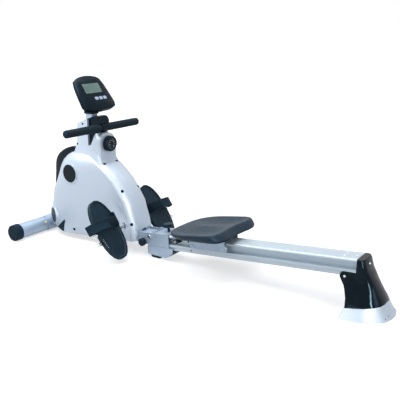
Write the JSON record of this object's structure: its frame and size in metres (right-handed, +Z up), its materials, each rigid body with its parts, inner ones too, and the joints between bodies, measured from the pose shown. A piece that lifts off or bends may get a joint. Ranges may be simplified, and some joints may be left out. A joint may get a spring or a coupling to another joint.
{
  "type": "rowing machine",
  "caption": "Home rowing machine: flywheel in a moulded two-shell housing, folding aluminium rail with a sliding seat, strapped foot plates, pull handle and console.",
  "frame": {"origin": "on the floor under the middle of the machine", "axes": "+X from the flywheel end to the rear foot, +Y to the rower's right, +Z up"},
  "size_m": [1.8034, 0.5674, 0.7791],
  "materials": {
    "silver_plastic": "silver blue, satin",
    "painted_steel": "silver blue metallic paint",
    "black_plastic": "fine grained black",
    "gloss_black": "polished black",
    "anodised": "anodised",
    "bright_steel": "plated",
    "cast_iron": "turned",
    "black_foam": "matt foam",
    "black_rubber": "matt",
    "seat_foam": "moulded foam skin",
    "black_webbing": "woven",
    "display_glass": "clear window over a grey green display",
    "button_plastic": "satin",
    "white_nylon": "natural nylon"
  },
  "bodies": {
    "frame": {"stabilizer_tube": "painted_steel", "stabilizer_cap_left": "black_rubber", "stabilizer_cap_right": "black_rubber", "main_beam": "painted_steel", "hinge_block": "painted_steel", "middle_foot_left": "black_rubber", "middle_foot_right": "black_rubber", "pivot_bolt": "bright_steel", "handle_cradle": "black_plastic", "mast_tube": "painted_steel", "left_shell": "silver_plastic", "right_shell": "silver_plastic", "side_cap_left": "gloss_black", "side_cap_right": "gloss_black", "corner_cap_left": "gloss_black", "corner_cap_right": "gloss_black", "front_belly_pan": "black_plastic", "front_guard": "gloss_black", "mast_cover_left": "silver_plastic", "mast_cover_right": "silver_plastic", "pull_strap": "black_webbing", "console_front": "black_plastic", "display_lens": "display_glass", "console_back": "black_plastic", "spring_case": "black_plastic", "drive_belt": "black_rubber", "pedal_axle": "bright_steel"},
    "flywheel_set": {"flywheel": "cast_iron", "flywheel_pulley": "black_plastic"},
    "big_pulley": {"drive_pulley": "black_plastic"},
    "drum": {"strap_drum": "black_plastic"},
    "strap_roller": {"guide_roller": "white_nylon"},
    "handle": {"handle_bar": "bright_steel", "grip_left": "black_foam", "grip_right": "black_foam", "handle_clamp": "black_plastic"},
    "dial": {"tension_dial": "black_plastic"},
    "yoke": {"magnet_yoke": "painted_steel"},
    "left_key": {"button_left": "button_plastic"},
    "middle_key": {"button_middle": "button_plastic"},
    "right_key": {"button_right": "button_plastic"},
    "left_footrest": {"left_pedal": "black_plastic", "left_foot_strap": "black_rubber"},
    "right_footrest": {"right_pedal": "black_plastic", "right_foot_strap": "black_rubber"},
    "lock_pin": {"pull_knob": "black_plastic"},
    "slide_rail": {"rail": "anodised", "front_stop": "black_rubber", "rail_bracket": "painted_steel", "leg_cover": "gloss_black", "leg_foot": "silver_plastic"},
    "clamp_knob": {"star_knob": "black_plastic"},
    "sliding_seat": {"seat": "seat_foam", "seat_carriage": "painted_steel"},
    "front_rollers": {"front_left_roller": "white_nylon", "front_right_roller": "white_nylon"},
    "middle_rollers": {"middle_left_roller": "white_nylon", "middle_right_roller": "white_nylon"},
    "rear_rollers": {"rear_left_roller": "white_nylon", "rear_right_roller": "white_nylon"}
  },
  "joints": [
    {"name": "flywheel_spin", "type": "hinge", "parent": "frame", "child": "flywheel_set", "pos_m": [-0.7, 0, 0.205], "axis": [0, 1, 0], "continuous": true},
    {"name": "big_pulley_spin", "type": "hinge", "parent": "frame", "child": "big_pulley", "pos_m": [-0.45, 0, 0.27], "axis": [0, 1, 0], "continuous": true},
    {"name": "handle_pull", "type": "slide", "parent": "frame", "child": "handle", "axis": [1, 0, 0], "range_m": [0, 1], "stiffness_N_per_m": 5, "springref_m": -1},
    {"name": "drum_spin", "type": "hinge", "parent": "frame", "child": "drum", "pos_m": [-0.45, 0, 0.27], "axis": [0, 1, 0], "continuous": true},
    {"name": "strap_roller_spin", "type": "hinge", "parent": "frame", "child": "strap_roller", "pos_m": [-0.526, 0, 0.536], "axis": [0, 1, 0], "continuous": true},
    {"name": "dial_turn", "type": "hinge", "parent": "frame", "child": "dial", "pos_m": [-0.474, 0, 0.48], "axis": [1, 0, 0], "range_deg": [0, 270]},
    {"name": "yoke_swing", "type": "hinge", "parent": "frame", "child": "yoke", "pos_m": [-0.636, 0, 0.11], "axis": [0, 1, 0], "range_deg": [0, 7]},
    {"name": "left_key_press", "type": "slide", "parent": "frame", "child": "left_key", "axis": [-0.8189, 0, -0.5739], "range_m": [0, 0.001], "stiffness_N_per_m": 300},
    {"name": "middle_key_press", "type": "slide", "parent": "frame", "child": "middle_key", "axis": [-0.8189, 0, -0.5739], "range_m": [0, 0.001], "stiffness_N_per_m": 300},
    {"name": "right_key_press", "type": "slide", "parent": "frame", "child": "right_key", "axis": [-0.8189, 0, -0.5739], "range_m": [0, 0.001], "stiffness_N_per_m": 300},
    {"name": "left_pedal_tilt", "type": "hinge", "parent": "frame", "child": "left_footrest", "pos_m": [-0.333, -0.17, 0.1245], "axis": [0, 1, 0], "range_deg": [-30, 5]},
    {"name": "right_pedal_tilt", "type": "hinge", "parent": "frame", "child": "right_footrest", "pos_m": [-0.333, 0.17, 0.1245], "axis": [0, 1, 0], "range_deg": [-30, 5]},
    {"name": "lock_pin_pull", "type": "slide", "parent": "frame", "child": "lock_pin", "axis": [0, -1, 0], "range_m": [0, 0.01], "stiffness_N_per_m": 1000},
    {"name": "rail_fold", "type": "hinge", "parent": "frame", "child": "slide_rail", "pos_m": [-0.192, 0, 0.096], "axis": [0, -1, 0], "range_deg": [0, 84]},
    {"name": "clamp_knob_turn", "type": "hinge", "parent": "slide_rail", "child": "clamp_knob", "pos_m": [-0.1197, 0, 0.1165], "axis": [-0.0985, 0, 0.9951], "range_deg": [0, 360]},
    {"name": "seat_slide", "type": "slide", "parent": "slide_rail", "child": "sliding_seat", "axis": [0.9951, 0, 0.0985], "range_m": [-0.06, 0.54]},
    {"name": "front_rollers_spin", "type": "hinge", "parent": "sliding_seat", "child": "front_rollers", "pos_m": [0.052, 0, 0.108], "axis": [0, 1, 0], "continuous": true},
    {"name": "middle_rollers_spin", "type": "hinge", "parent": "sliding_seat", "child": "middle_rollers", "pos_m": [0.1227, 0, 0.115], "axis": [0, 1, 0], "continuous": true},
    {"name": "rear_rollers_spin", "type": "hinge", "parent": "sliding_seat", "child": "rear_rollers", "pos_m": [0.1933, 0, 0.122], "axis": [0, 1, 0], "continuous": true}
  ],
  "couplings": [
    {"joint": "big_pulley_spin", "follows": "flywheel_spin", "ratio": 0.2857},
    {"joint": "drum_spin", "follows": "handle_pull", "rad_per_m": 21.28},
    {"joint": "strap_roller_spin", "follows": "handle_pull", "rad_per_m": 90.9},
    {"joint": "yoke_swing", "follows": "dial_turn", "ratio": 0.02592},
    {"joint": "front_rollers_spin", "follows": "seat_slide", "rad_per_m": 65.8},
    {"joint": "middle_rollers_spin", "follows": "seat_slide", "rad_per_m": 65.8},
    {"joint": "rear_rollers_spin", "follows": "seat_slide", "rad_per_m": 65.8}
  ]
}
